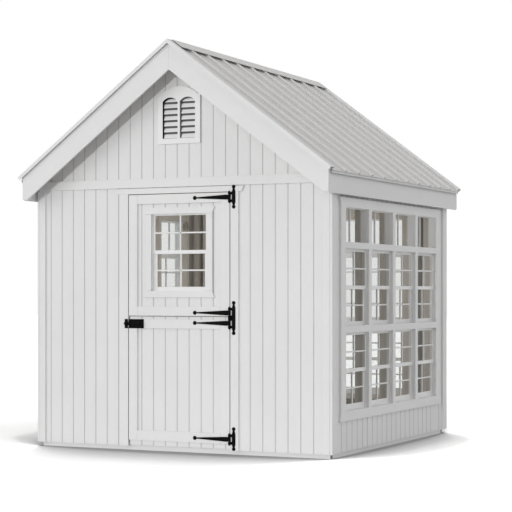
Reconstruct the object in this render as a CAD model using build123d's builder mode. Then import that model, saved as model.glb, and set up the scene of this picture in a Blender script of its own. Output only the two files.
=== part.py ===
from build123d import *
import os

os.makedirs("parts", exist_ok=True)

# Greenhouse shed, 8 ft by 8 ft, with a two-leaf door in front and windows in its other three walls.
# +X is right along the front, -Y is the front, +Z is up, millimetres.
# The origin is on the ground at the middle of the floor.

INCH = 25.4

# Floor
half = 48.0 * INCH
board = 1.5 * INCH
stud_deep = 3.5 * INCH
rim_high = 3.5 * INCH
deck_thick = 0.75 * INCH
door_setback = 0.25 * INCH
joist_count = 9
deck_top = rim_high + deck_thick

# Walls
siding = 0.5 * INCH
face = half + siding
trim = 0.75 * INCH
trim_face = face + trim
siding_low = 1.28 * INCH
siding_high = 78.6 * INCH
panel_joint = 79.7 * INCH
plate_low = 78.7 * INCH
plate_high = plate_low + board
joint = 0.04 * INCH

# Roof: height of each plane above the middle of the building, and its fall per unit of run
pitch = 0.75
slope_cos = 0.8
slope_sin = 0.6
rafter_under = 115.175 * INCH
rafter_over = 119.55 * INCH
deck_over = 120.15 * INCH
rake_under = 112.25 * INCH
rake_over = 120.9 * INCH
flashing_over = 121.1 * INCH
cap_over = 121.3 * INCH
tail = 49.95 * INCH
eave = 50.7 * INCH
metal_tip = 51.9 * INCH
rake_back = 54.6 * INCH
rake_face = 55.35 * INCH
rake_foot = 75.4 * INCH
fascia_low = 75.15 * INCH
ridge_half = 0.75 * INCH
mitre_gap = 0.005 * INCH

# Roof metal
sheet = 0.05 * INCH
rib_total = 10
rib_pitch = 10.03 * INCH
rib_shift = -0.7 * INCH
rib_high = 0.7 * INCH
rib_foot = 1.25 * INCH
rib_crown = 0.45 * INCH

# Windows of the side and back walls: four bays of two sliding rows and a fixed top row
bay_count = 4
bay_pitch = 20.0 * INCH
bay_half = 9.25 * INCH
light_half = 9.0 * INCH
mullion = 1.0 * INCH
sill_low = 10.15 * INCH
sill_top = 12.95 * INCH
rail_one_low = 35.5 * INCH
rail_one_high = 37.5 * INCH
rail_two_low = 59.95 * INCH
rail_two_high = 61.8 * INCH
head_low = 71.8 * INCH
head_high = 74.6 * INCH
window_end = 42.5 * INCH
ear = 0.75 * INCH
ear_bend = 0.36
glass = 0.12 * INCH
sash_thick = 0.5 * INCH
frame_wide = 0.6 * INCH
frame_side = 0.35 * INCH
sash_wide = 1.1 * INCH

# Door
leaf_half = 16.85 * INCH
jamb = 17.12 * INCH
casing_out = 19.7 * INCH
door_low = 1.6 * INCH
lower_top = 40.02 * INCH
upper_low = 40.25 * INCH
door_top = 76.25 * INCH
head_under = 76.5 * INCH
header_top = 78.15 * INCH
backing = 0.75 * INCH
backing_wide = 2.5 * INCH
stile_in = 14.0 * INCH
pane_half = 9.17 * INCH
pane_outer = 11.17 * INCH
pane_low = 47.6 * INCH
pane_high = 70.4 * INCH
pane_trim = 1.9 * INCH
belt_low = 78.36 * INCH
belt_high = 81.04 * INCH

# Ironwork
axis_x = 16.985 * INCH
axis_y = -49.66 * INCH
iron = 0.15 * INCH
iron_face = -trim_face - iron
knuckle = 0.38 * INCH
knuckle_high = 0.8 * INCH
knuckle_gap = 0.1 * INCH
eye_high = 1.2 * INCH
pin = 0.16 * INCH
pin_hole = 0.2 * INCH


def block(x0, x1, y0, y1, z0, z1, mode=Mode.ADD):
    with Locations(((x0 + x1) / 2, (y0 + y1) / 2, (z0 + z1) / 2)):
        Box(abs(x1 - x0), abs(y1 - y0), abs(z1 - z0), mode=mode)


def front_profile(points, y_front, y_back):
    """A closed profile drawn on the front (X across, Z up), solid between two depths."""
    with BuildSketch(Plane.XZ.offset(-y_back)) as outline:
        with BuildLine():
            Polyline(*points, close=True)
        make_face()
    extrude(outline.sketch, amount=y_back - y_front)


def flared_board(plane, half_wide, inner, outer, flare):
    """A trim board whose ends spread in a shallow curve from its inner to its outer edge."""
    bend = half_wide + ear_bend * flare
    tip = half_wide + flare
    middle = (inner + outer) / 2
    with BuildSketch(plane) as outline:
        with BuildLine():
            Line((-half_wide, inner), (half_wide, inner))
            ThreePointArc((half_wide, inner), (bend, middle), (tip, outer))
            Line((tip, outer), (-tip, outer))
            ThreePointArc((-tip, outer), (-bend, middle), (-half_wide, inner))
        make_face()
    extrude(outline.sketch, amount=trim)


def framed_ring(plane, half_wide, low, high, stile, rail_low, rail_high, thick):
    """Two stiles and two rails in one ring, drawn on the plane of a wall."""
    with BuildSketch(plane) as outline:
        with Locations((0, (low + high) / 2)):
            Rectangle(2 * half_wide, high - low)
        with Locations((0, (low + rail_low + high - rail_high) / 2)):
            Rectangle(2 * (half_wide - stile), high - low - rail_low - rail_high, mode=Mode.SUBTRACT)
    extrude(outline.sketch, amount=thick)


def bent_sheet(plane, points, thick, side, length):
    """Sheet metal folded along a line of points and run square to its plane."""
    with BuildSketch(plane) as section:
        with BuildLine():
            Polyline(*points)
            offset(amount=thick, side=side, kind=Kind.INTERSECTION)
        make_face()
    extrude(section.sketch, amount=length)


def gable_line(top, x):
    return top - pitch * abs(x)


def slope_plane(top, x):
    """The plane square to the right slope, with its own Y pointing out of the roof."""
    return Plane(origin=(x, 0, gable_line(top, x)), x_dir=(0, 1, 0), z_dir=(slope_cos, 0, -slope_sin))


# Floor: two rims, joists between them, and the deck
with BuildPart() as floor_rims:
    block(-half, half, -half + door_setback, -half + door_setback + board, 0, rim_high)
    block(-half, half, half - board, half, 0, rim_high)

with BuildPart() as floor_joists:
    joist_front = -half + door_setback + board
    joist_back = half - board
    joist_step = (2 * half - board) / (joist_count - 1)
    with Locations((0, (joist_front + joist_back) / 2, rim_high / 2)):
        with GridLocations(joist_step, 1, joist_count, 1):
            Box(board, joist_back - joist_front, rim_high)

with BuildPart() as floor_deck:
    block(-half, half, -half + door_setback, half, rim_high, deck_top)

# Siding, with one hole in each wall of windows
gable_eave = gable_line(rafter_over, face)
window_hole_half = 39.4 * INCH
window_hole_low = 12.45 * INCH
window_hole_high = 72.3 * INCH

with BuildPart() as front_siding:
    for side in (-1, 1):
        block(side * jamb, side * face, -face, -half, siding_low, panel_joint)

with BuildPart() as front_gable_siding:
    front_profile(
        [
            (-jamb, head_under),
            (jamb, head_under),
            (jamb, panel_joint),
            (face, panel_joint),
            (face, gable_eave),
            (0, rafter_over),
            (-face, gable_eave),
            (-face, panel_joint),
            (-jamb, panel_joint),
        ],
        -face,
        -half,
    )

with BuildPart() as back_siding:
    block(-face, face, half, face, siding_low, panel_joint - joint)
    block(-window_hole_half, window_hole_half, half, face, window_hole_low, window_hole_high, Mode.SUBTRACT)
    front_profile(
        [
            (-face, panel_joint),
            (face, panel_joint),
            (face, gable_eave),
            (0, rafter_over),
            (-face, gable_eave),
        ],
        half,
        face,
    )

with BuildPart() as right_siding:
    block(half, face, -half, half, siding_low, siding_high)
    block(half, face, -window_hole_half, window_hole_half, window_hole_low, window_hole_high, Mode.SUBTRACT)

# Wall frame
plate_end = half - stud_deep - joint

with BuildPart() as wall_plates:
    for low in (deck_top, plate_low):
        for side in (-1, 1):
            block(side * (half - stud_deep), side * half, -half, half, low, low + board)
        block(-plate_end, plate_end, half - stud_deep, half, low, low + board)
    for side in (-1, 1):
        block(side * jamb, side * plate_end, -half, -half + stud_deep, deck_top, deck_top + board)
    block(-plate_end, plate_end, -half, -half + stud_deep, plate_low, plate_high)
    block(-jamb, jamb, -half, -half + stud_deep, head_under, plate_low - joint)

stud_low = deck_top + board
stud_tall = plate_low - stud_low
window_stud_count = bay_count + 1
side_end_stud = half - board / 2
back_end_stud = plate_end - board / 2
front_stud_middles = [-42 * INCH, -30 * INCH, 30 * INCH, 42 * INCH]
gable_stud_middles = [-30 * INCH, -15 * INCH, 15 * INCH, 30 * INCH]

with BuildPart() as wall_studs:
    for side in (-1, 1):
        with Locations((side * (half - stud_deep / 2), 0, stud_low + stud_tall / 2)):
            with GridLocations(1, bay_pitch, 1, window_stud_count):
                Box(stud_deep, board, stud_tall)
            with GridLocations(1, 2 * side_end_stud, 1, 2):
                Box(stud_deep, board, stud_tall)
        block(side * jamb, side * (jamb + board), -half, -half + stud_deep, stud_low, plate_low)
    with Locations((0, half - stud_deep / 2, stud_low + stud_tall / 2)):
        with GridLocations(bay_pitch, 1, window_stud_count, 1):
            Box(board, stud_deep, stud_tall)
        with GridLocations(2 * back_end_stud, 1, 2, 1):
            Box(board, stud_deep, stud_tall)
    for x in front_stud_middles:
        block(x - board / 2, x + board / 2, -half, -half + stud_deep, stud_low, plate_low)
    for x in gable_stud_middles:
        x_in = x - board / 2
        x_out = x + board / 2
        shape = [
            (x_in, plate_high),
            (x_out, plate_high),
            (x_out, gable_line(rafter_under, x_out)),
            (x_in, gable_line(rafter_under, x_in)),
        ]
        front_profile(shape, -half, -half + stud_deep)
        front_profile(shape, half - stud_deep, half)

# Windows: each piece is drawn once on the right wall, then turned to the back and left walls
wall_places = [Location((0, 0, 0), (0, 0, turn)) for turn in (0, 90, 180)]
bay_middles = [(number - (bay_count - 1) / 2) * bay_pitch for number in range(bay_count)]
bay_places = [wall * Location((0, middle, 0)) for wall in wall_places for middle in bay_middles]
hung_rows = [(12.45 * INCH, 36.45 * INCH), (36.5 * INCH, 60.8 * INCH)]
fixed_row = (60.85 * INCH, 72.3 * INCH)

header_low = 72.4 * INCH
header_thick = 3.0 * INCH
rough_sill_top = 12.4 * INCH

with BuildPart() as window_headers_and_sills:
    with Locations(*bay_places):
        lumber_half = bay_half - joint
        with Locations((half - header_thick / 2, 0, (header_low + plate_low - joint) / 2)):
            Box(header_thick, 2 * lumber_half, plate_low - joint - header_low)
        with Locations((half - stud_deep / 2, 0, rough_sill_top - board / 2)):
            Box(stud_deep, 2 * lumber_half, board)

with BuildPart(mode=Mode.PRIVATE) as wall_stiles:
    stile_middle = (face + trim / 2, 0, (sill_top + head_low) / 2)
    with Locations(stile_middle):
        with GridLocations(1, bay_pitch, 1, bay_count - 1):
            Box(trim, 2 * mullion, head_low - sill_top)
    for side in (-1, 1):
        end_in = side * (2 * bay_pitch - mullion)
        block(face, trim_face, end_in, side * window_end, sill_top, head_low)

with BuildPart() as window_stiles:
    with Locations(*wall_places):
        add(wall_stiles.part)

with BuildPart(mode=Mode.PRIVATE) as wall_rails:
    flared_board(Plane.YZ.offset(face), window_end, head_low, head_high, ear)
    flared_board(Plane.YZ.offset(face), window_end, sill_top, sill_low, ear)
    for y in bay_middles:
        block(face, trim_face, y - light_half, y + light_half, rail_one_low, rail_one_high)
        block(face, trim_face, y - light_half, y + light_half, rail_two_low, rail_two_high)

with BuildPart() as window_rails:
    with Locations(*wall_places):
        add(wall_rails.part)

frame_in = 46.9 * INCH
fixed_frame_in = 46.2 * INCH
sash_half = bay_half - frame_side
head_end = sash_half - joint

with BuildPart(mode=Mode.PRIVATE) as bay_frames:
    for low, high, depth in [(*row, frame_in) for row in hung_rows] + [(*fixed_row, fixed_frame_in)]:
        for side in (-1, 1):
            block(depth, face, side * sash_half, side * bay_half, low, high)
        block(depth, face, -head_end, head_end, low, low + frame_wide)
        block(depth, face, -head_end, head_end, high - frame_wide, high)

with BuildPart() as window_frames:
    with Locations(*bay_places):
        add(bay_frames.part)

# The upper sash of each pair slides outside the lower one
outer_sash_in = 47.6 * INCH
inner_sash_in = 47.05 * INCH
outer_stile = 0.35 * INCH
inner_stile = 0.65 * INCH
foot_rail = 1.6 * INCH
meet = 0.55 * INCH
fixed_glass_in = 46.5 * INCH

with BuildPart(mode=Mode.PRIVATE) as bay_sashes:
    for low, high in hung_rows:
        middle = (low + high) / 2
        framed_ring(
            Plane.YZ.offset(outer_sash_in),
            sash_half,
            middle - meet,
            high - frame_wide,
            outer_stile,
            sash_wide,
            sash_wide,
            sash_thick,
        )
        framed_ring(
            Plane.YZ.offset(inner_sash_in),
            sash_half,
            low + frame_wide,
            middle + meet,
            inner_stile,
            foot_rail,
            sash_wide,
            sash_thick,
        )

with BuildPart() as window_sashes:
    with Locations(*bay_places):
        add(bay_sashes.part)

with BuildPart(mode=Mode.PRIVATE) as bay_glass:
    outer_x = outer_sash_in + (sash_thick - glass) / 2
    inner_x = inner_sash_in + (sash_thick - glass) / 2
    outer_reach = sash_half - outer_stile
    inner_reach = sash_half - inner_stile
    for low, high in hung_rows:
        middle = (low + high) / 2
        outer_low = middle - meet + sash_wide
        outer_high = high - frame_wide - sash_wide
        block(outer_x, outer_x + glass, -outer_reach, outer_reach, outer_low, outer_high)
        inner_low = low + frame_wide + foot_rail
        inner_high = middle + meet - sash_wide
        block(inner_x, inner_x + glass, -inner_reach, inner_reach, inner_low, inner_high)
    fixed_low = fixed_row[0] + frame_wide
    fixed_high = fixed_row[1] - frame_wide
    block(fixed_glass_in, fixed_glass_in + glass, -sash_half, sash_half, fixed_low, fixed_high)

with BuildPart() as window_glass:
    with Locations(*bay_places):
        add(bay_glass.part)

# Corner boards, belts, door casing and door header
corner_front = 46.5 * INCH
corner_side = 45.6 * INCH
corner_top = 78.2 * INCH

with BuildPart() as corner_boards:
    for side_x in (-1, 1):
        for side_y in (-1, 1):
            block(
                side_x * corner_front,
                side_x * (face - joint),
                side_y * face,
                side_y * trim_face,
                siding_low,
                belt_low,
            )
            block(
                side_x * face,
                side_x * trim_face,
                side_y * corner_side,
                side_y * trim_face,
                siding_low,
                corner_top,
            )

with BuildPart() as door_casing:
    for side in (-1, 1):
        block(side * jamb, side * casing_out, -trim_face, -face, siding_low, head_under)

header_half = 20.75 * INCH
header_flare = 0.7 * INCH

with BuildPart() as belt_and_header_boards:
    block(-trim_face, trim_face, -trim_face, -face, belt_low, belt_high)
    block(-trim_face, trim_face, face, trim_face, belt_low, belt_high)
    flared_board(Plane.XZ.offset(face), header_half, head_under, header_top, header_flare)

# Roof frame: rafters with a seat on the plate, barge rafters outside the gables, blocks between
rafter_pitch = 24.0 * INCH
rafter_middles = [-side_end_stud, -rafter_pitch, 0, rafter_pitch, side_end_stud]
barge_middle = rake_back - board / 2
seat_in = (rafter_under - plate_high) / pitch

with BuildPart() as rafters:
    for y in rafter_middles:
        front_profile(
            [
                (ridge_half, gable_line(rafter_over, ridge_half)),
                (tail, gable_line(rafter_over, tail)),
                (tail, gable_line(rafter_under, tail)),
                (half, gable_line(rafter_under, half)),
                (half, plate_high),
                (seat_in, plate_high),
                (ridge_half, gable_line(rafter_under, ridge_half)),
            ],
            y - board / 2,
            y + board / 2,
        )
    for y in (-barge_middle, barge_middle):
        front_profile(
            [
                (ridge_half, gable_line(rafter_over, ridge_half)),
                (tail, gable_line(rafter_over, tail)),
                (tail, gable_line(rafter_under, tail)),
                (ridge_half, gable_line(rafter_under, ridge_half)),
            ],
            y - board / 2,
            y + board / 2,
        )
    for near, far in zip(rafter_middles[:-1], rafter_middles[1:]):
        near_end = near + board / 2 + joint
        far_end = far - board / 2 - joint
        block(half - board, half, near_end, far_end, plate_high, gable_line(rafter_over, half) - joint)
    mirror(about=Plane.YZ)

with BuildPart() as ridge_board:
    block(
        -ridge_half,
        ridge_half,
        -rake_back,
        rake_back,
        gable_line(rafter_under, ridge_half),
        gable_line(rafter_over, ridge_half),
    )
    for side in (-1, 1):
        block(-ridge_half, ridge_half, side * half, side * face, rake_under, deck_over, Mode.SUBTRACT)

with BuildPart() as roof_deck_right:
    front_profile(
        [
            (0, rafter_over),
            (0, deck_over),
            (eave, gable_line(deck_over, eave)),
            (eave, gable_line(rafter_over, eave)),
        ],
        -rake_back,
        rake_back,
    )

with BuildPart() as fascia_boards:
    front_profile(
        [
            (tail, fascia_low),
            (eave, fascia_low),
            (eave, gable_line(rafter_over, eave)),
            (tail, gable_line(rafter_over, tail)),
        ],
        -rake_back,
        rake_back,
    )
    mirror(about=Plane.YZ)

# Rake boards: one mitred pair at each gable, cut level at the foot
rake_toe = (rake_under - rake_foot) / pitch

with BuildPart() as rake_boards:
    front_profile(
        [
            (mitre_gap, gable_line(rake_over, mitre_gap)),
            (eave, gable_line(rake_over, eave)),
            (eave, rake_foot),
            (rake_toe, rake_foot),
            (mitre_gap, gable_line(rake_under, mitre_gap)),
        ],
        -rake_face,
        -rake_back,
    )
    mirror(about=Plane.YZ)
    mirror(about=Plane.XZ)

# Ribbed roof sheet, folded square to the slope and run from the ridge to the eave
sheet_start = 0.1 * INCH
sheet_half = 54.5 * INCH
sheet_length = (metal_tip - sheet_start) / slope_cos

rib_chain = [(-sheet_half, 0)]
for number in range(rib_total):
    middle = (number - (rib_total - 1) / 2) * rib_pitch + rib_shift
    rib_chain.append((middle - rib_foot / 2, 0))
    rib_chain.append((middle - rib_crown / 2, rib_high))
    rib_chain.append((middle + rib_crown / 2, rib_high))
    rib_chain.append((middle + rib_foot / 2, 0))
rib_chain.append((sheet_half, 0))

with BuildPart() as roof_metal_right:
    bent_sheet(slope_plane(deck_over, sheet_start), rib_chain, sheet, Side.LEFT, sheet_length)

# Flashing folded over each gable's edge and down to the sheet, square at the eave, mitred at the ridge
flashing_thick = 0.1 * INCH
flashing_face = 56.3 * INCH
flashing_inner = 53.9 * INCH
flashing_rise = (flashing_over - deck_over) * slope_cos
flashing_drop = flashing_rise - 1.0 * INCH
flashing_start = -2.0 * INCH
flashing_end = metal_tip - flashing_rise * slope_sin
flashing_length = (flashing_end - flashing_start) / slope_cos

with BuildPart() as gable_flashing:
    bent_sheet(
        Plane(
            origin=(flashing_start, 0, deck_over - pitch * flashing_start),
            x_dir=(0, 1, 0),
            z_dir=(slope_cos, 0, -slope_sin),
        ),
        [
            (-flashing_face, flashing_drop),
            (-flashing_face, flashing_rise),
            (-flashing_inner, flashing_rise),
            (-flashing_inner, sheet),
        ],
        flashing_thick,
        Side.RIGHT,
        flashing_length,
    )
    split(bisect_by=Plane.YZ.offset(mitre_gap), keep=Keep.TOP)
    mirror(about=Plane.YZ)
    mirror(about=Plane.XZ)

# Drip edge under the sheet along each eave, hooked over the top of the fascia
drip_thick = 0.06 * INCH
drip_back = eave + 0.01 * INCH
drip_face = 51.5 * INCH
drip_low = 80.6 * INCH
drip_hook = 81.2 * INCH
drip_under = deck_over - 0.01 * INCH
drip_hem = 0.25 * INCH

with BuildPart() as eave_drips:
    bent_sheet(
        Plane.XZ.offset(-sheet_half),
        [
            (drip_back, drip_hook),
            (drip_back, gable_line(drip_under, drip_back)),
            (drip_face, gable_line(drip_under, drip_face)),
            (drip_face, drip_low),
            (drip_face - drip_hem, drip_low),
        ],
        drip_thick,
        Side.RIGHT,
        2 * sheet_half,
    )
    mirror(about=Plane.YZ)

# Ridge cap with a small folded lip on each edge
cap_half = 3.1 * INCH
cap_lip = 0.14 * INCH
cap_thick = 0.08 * INCH
cap_front = -53.0 * INCH
cap_back = 55.0 * INCH

with BuildPart() as ridge_cap:
    bent_sheet(
        Plane.XZ.offset(-cap_back),
        [
            (-cap_half, gable_line(cap_over, cap_half) - cap_lip),
            (-cap_half, gable_line(cap_over, cap_half)),
            (0, cap_over),
            (cap_half, gable_line(cap_over, cap_half)),
            (cap_half, gable_line(cap_over, cap_half) - cap_lip),
        ],
        cap_thick,
        Side.RIGHT,
        cap_back - cap_front,
    )

# Gable vent: an arched frame with two arched lights of louvre slats
vent_half = 7.1 * INCH
vent_low = 91.1 * INCH
vent_shoulder = 105.6 * INCH
vent_arch_half = 6.3 * INCH
vent_peak = 108.1 * INCH
vent_thick = 0.55 * INCH
vent_face = face + vent_thick
light_in = 0.4 * INCH
light_out = 5.4 * INCH
light_low = 92.7 * INCH
light_spring = 103.6 * INCH
light_peak = 104.8 * INCH
slat_count = 7
slat_pitch = 1.78 * INCH
slat_thick = 0.22 * INCH
slat_start = light_low + 0.1 * INCH
slat_rise = 1.1 * INCH
slat_front = -vent_face + 0.05 * INCH


def arched_light(side, mode=Mode.ADD):
    near = side * light_in
    far = side * light_out
    with BuildLine() as outline:
        Line((near, light_low), (far, light_low))
        Line((far, light_low), (far, light_spring))
        ThreePointArc((far, light_spring), ((near + far) / 2, light_peak), (near, light_spring))
        Line((near, light_spring), (near, light_low))
    make_face(outline.edges(), mode=mode)


with BuildPart() as gable_vent:
    with BuildSketch(Plane.XZ.offset(face)):
        with BuildLine():
            Line((-vent_half, vent_low), (vent_half, vent_low))
            Line((vent_half, vent_low), (vent_half, vent_shoulder))
            Line((vent_half, vent_shoulder), (vent_arch_half, vent_shoulder))
            ThreePointArc((vent_arch_half, vent_shoulder), (0, vent_peak), (-vent_arch_half, vent_shoulder))
            Line((-vent_arch_half, vent_shoulder), (-vent_half, vent_shoulder))
            Line((-vent_half, vent_shoulder), (-vent_half, vent_low))
        make_face()
    extrude(amount=vent_thick)
    for side in (-1, 1):
        with BuildSketch(Plane.XZ.offset(face)):
            arched_light(side)
        extrude(amount=vent_thick, mode=Mode.SUBTRACT)

with BuildPart() as gable_vent_slats:
    for side in (-1, 1):
        for number in range(slat_count):
            low = slat_start + number * slat_pitch
            with BuildSketch(Plane.YZ.offset(side * light_in)):
                with BuildLine():
                    Polyline(
                        (slat_front, low),
                        (slat_front, low + slat_thick),
                        (-face, low + slat_thick + slat_rise),
                        (-face, low + slat_rise),
                        close=True,
                    )
                make_face()
            extrude(amount=side * (light_out - light_in))
    with BuildSketch(Plane.XZ.offset(face)):
        with Locations((0, vent_low + vent_half)):
            Rectangle(4 * vent_half, 6 * vent_half)
        for side in (-1, 1):
            arched_light(side, Mode.SUBTRACT)
    extrude(amount=vent_thick, mode=Mode.SUBTRACT)

# Door leaves: grooved boards on a backing frame, with trim boards on the face
board_hole_half = 9.4 * INCH
board_hole_low = 47.37 * INCH
board_hole_high = 70.63 * INCH
backing_plane = Plane.XZ.offset(half - backing)

with BuildPart() as upper_door_boards:
    block(-leaf_half, leaf_half, -face, -half, upper_low, door_top)
    framed_ring(
        backing_plane,
        leaf_half,
        upper_low,
        door_top,
        backing_wide,
        backing_wide,
        backing_wide,
        backing,
    )
    block(
        -board_hole_half,
        board_hole_half,
        -face,
        -half + backing,
        board_hole_low,
        board_hole_high,
        Mode.SUBTRACT,
    )

top_rail_low = 73.5 * INCH
low_rail_high = 43.0 * INCH
rail_end = stile_in - joint

with BuildPart() as upper_door_trim:
    for side in (-1, 1):
        block(side * stile_in, side * leaf_half, -trim_face, -face, upper_low, door_top)
        block(side * pane_half, side * pane_outer, -trim_face, -face, pane_low + joint, pane_high - joint)
    block(-rail_end, rail_end, -trim_face, -face, top_rail_low, door_top)
    block(-rail_end, rail_end, -trim_face, -face, upper_low, low_rail_high)
    flared_board(Plane.XZ.offset(face), pane_outer, pane_high, pane_high + pane_trim, ear)
    flared_board(Plane.XZ.offset(face), pane_outer, pane_low, pane_low - pane_trim, ear)

window_back = -47.1 * INCH
leaf_sash_thick = 0.4 * INCH
leaf_outer_back = 47.6 * INCH
leaf_inner_back = 47.18 * INCH
leaf_meet = 59.15 * INCH
leaf_sash_half = board_hole_half - frame_side
leaf_outer_stile = 0.58 * INCH
leaf_inner_stile = 1.08 * INCH
leaf_top_rail = 0.3 * INCH
leaf_foot_rail = 1.13 * INCH

with BuildPart() as upper_door_window:
    framed_ring(
        Plane.XZ.offset(-window_back),
        board_hole_half,
        board_hole_low,
        board_hole_high,
        frame_side,
        frame_side,
        frame_side,
        face + window_back,
    )
    framed_ring(
        Plane.XZ.offset(leaf_outer_back),
        leaf_sash_half,
        leaf_meet - meet,
        board_hole_high - frame_side,
        leaf_outer_stile,
        sash_wide,
        leaf_top_rail,
        leaf_sash_thick,
    )
    framed_ring(
        Plane.XZ.offset(leaf_inner_back),
        leaf_sash_half,
        board_hole_low + frame_side,
        leaf_meet + meet,
        leaf_inner_stile,
        leaf_foot_rail,
        sash_wide,
        leaf_sash_thick,
    )

with BuildPart() as upper_door_glass:
    outer_reach = leaf_sash_half - leaf_outer_stile
    inner_reach = leaf_sash_half - leaf_inner_stile
    outer_y = -leaf_outer_back - (leaf_sash_thick - glass) / 2
    inner_y = -leaf_inner_back - (leaf_sash_thick - glass) / 2
    block(
        -outer_reach,
        outer_reach,
        outer_y - glass,
        outer_y,
        leaf_meet - meet + sash_wide,
        board_hole_high - frame_side - leaf_top_rail,
    )
    block(
        -inner_reach,
        inner_reach,
        inner_y - glass,
        inner_y,
        board_hole_low + frame_side + leaf_foot_rail,
        leaf_meet + meet - sash_wide,
    )

backing_low = 4.6 * INCH

with BuildPart() as lower_door_boards:
    block(-leaf_half, leaf_half, -face, -half, door_low, lower_top)
    framed_ring(
        backing_plane,
        leaf_half,
        backing_low,
        lower_top,
        backing_wide,
        backing_wide,
        backing_wide,
        backing,
    )

lower_rail_low = 3.15 * INCH
lower_rail_high = 6.1 * INCH
lower_top_rail_low = 36.5 * INCH
lower_top_rail_high = 39.2 * INCH

with BuildPart() as lower_door_trim:
    for side in (-1, 1):
        block(side * stile_in, side * leaf_half, -trim_face, -face, lower_rail_low, lower_top_rail_high)
    block(-rail_end, rail_end, -trim_face, -face, lower_top_rail_low, lower_top_rail_high)
    block(-rail_end, rail_end, -trim_face, -face, lower_rail_low, lower_rail_high)

# Strap hinges: a tapered strap with a domed end and a rolled eye on each leaf, turning on a pin that
# the knuckles of a long casing leaf hold above and below the eye
strap_tip = 5.5 * INCH
strap_shoulder = 15.9 * INCH
shoulder_high = 1.45 * INCH
tip_high = 0.3 * INCH
dome_radius = 0.6 * INCH
dome_edge = 0.12 * INCH
dome_crown = 0.3 * INCH
upper_straps = [74.9 * INCH, 41.22 * INCH]
lower_straps = [38.22 * INCH, 4.5 * INCH]

plate_middle = 18.25 * INCH
plate_wide = 1.1 * INCH
plate_neck = 0.35 * INCH
plate_dome = 0.55 * INCH
finial = 0.3 * INCH
barrel_reach = eye_high / 2 + knuckle_gap + knuckle_high
casing_leaves = [
    (71.5 * INCH, upper_straps[0] - barrel_reach, upper_straps[0] + barrel_reach, 78.4 * INCH),
    (34.8 * INCH, lower_straps[0] - barrel_reach, upper_straps[1] + barrel_reach, 44.7 * INCH),
    (1.2 * INCH, lower_straps[1] - barrel_reach, lower_straps[1] + barrel_reach, 8.1 * INCH),
]


def upright(radius, low, tall, mode=Mode.ADD):
    """A round bar standing on the hinge axis."""
    with Locations((axis_x, axis_y, low + tall / 2)):
        Cylinder(radius, tall, mode=mode)


def domed_end(x, z, radius):
    """A round iron end with a domed face, turned about a line square to the trim."""
    section = Plane(origin=(x, -trim_face, z), x_dir=(1, 0, 0), z_dir=(0, 0, -1))
    with BuildSketch(section) as outline:
        with BuildLine():
            Polyline((0, dome_crown), (0, 0), (radius, 0), (radius, dome_edge))
            TangentArc((0, dome_crown), (radius, dome_edge), tangent=(1, 0))
        make_face()
    revolve(outline.sketch, axis=Axis((x, -trim_face, z), (0, 1, 0)))


def strap(middle):
    """A strap on the leaf's face, from its domed tip to the eye on the hinge axis."""
    front_profile(
        [
            (strap_tip, middle - tip_high / 2),
            (strap_shoulder, middle - shoulder_high / 2),
            (axis_x, middle - eye_high / 2),
            (axis_x, middle + eye_high / 2),
            (strap_shoulder, middle + shoulder_high / 2),
            (strap_tip, middle + tip_high / 2),
        ],
        iron_face,
        -trim_face,
    )
    domed_end(strap_tip, middle, dome_radius)
    upright(knuckle, middle - eye_high / 2, eye_high)
    upright(pin_hole, middle - eye_high / 2, eye_high, Mode.SUBTRACT)


def casing_leaf(low, knuckles_low, knuckles_high, high):
    """A leaf on the casing: full width beside its knuckles, tapering to a domed end above and below."""
    low_tip = low + plate_dome
    high_tip = high - plate_dome
    front_profile(
        [
            (plate_middle - plate_neck / 2, low_tip),
            (plate_middle + plate_neck / 2, low_tip),
            (plate_middle + plate_wide / 2, knuckles_low),
            (plate_middle + plate_wide / 2, knuckles_high),
            (plate_middle + plate_neck / 2, high_tip),
            (plate_middle - plate_neck / 2, high_tip),
            (plate_middle - plate_wide / 2, knuckles_high),
            (plate_middle - plate_wide / 2, knuckles_low),
        ],
        iron_face,
        -trim_face,
    )
    domed_end(plate_middle, low_tip, plate_dome)
    domed_end(plate_middle, high_tip, plate_dome)
    with Locations((axis_x, axis_y, knuckles_low), (axis_x, axis_y, knuckles_high)):
        Sphere(finial)


def casing_knuckle(low):
    upright(knuckle, low, knuckle_high)
    block(axis_x, plate_middle - plate_wide / 2 + iron, iron_face, -trim_face, low, low + knuckle_high)


with BuildPart() as upper_door_straps:
    for middle in upper_straps:
        strap(middle)

# Slide bolt, drawn back: its keeper on the casing; its plate, guides, bolt and knob on the lower leaf
latch_low = 36.47 * INCH
latch_high = 39.22 * INCH
latch_near = -16.8 * INCH
latch_far = -11.68 * INCH
keeper_near = -18.2 * INCH
keeper_far = -17.15 * INCH
bolt_middle = 37.85 * INCH
bolt_radius = 0.28 * INCH
bolt_sink = 0.04 * INCH
bolt_depth = iron_face - bolt_radius + bolt_sink
guide_wide = 0.7 * INCH
guide_radius = 0.5 * INCH
knob_x = latch_far - 1.1 * INCH
knob_radius = 0.34 * INCH
knob_depth = bolt_depth - 0.75 * INCH


def bolt_bar(x0, x1, radius, mode=Mode.ADD):
    """A round bar lying along the bolt's line."""
    with Locations(Location(((x0 + x1) / 2, bolt_depth, bolt_middle), (0, 90, 0))):
        Cylinder(radius, abs(x1 - x0), mode=mode)


def bolt_guide(x0, x1):
    """A half-round guide standing on its plate."""
    bolt_bar(x0, x1, guide_radius)
    block(x0, x1, bolt_depth, -trim_face, bolt_middle - guide_radius, bolt_middle + guide_radius)
    block(x0, x1, -trim_face, -face, latch_low, latch_high, Mode.SUBTRACT)


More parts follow.
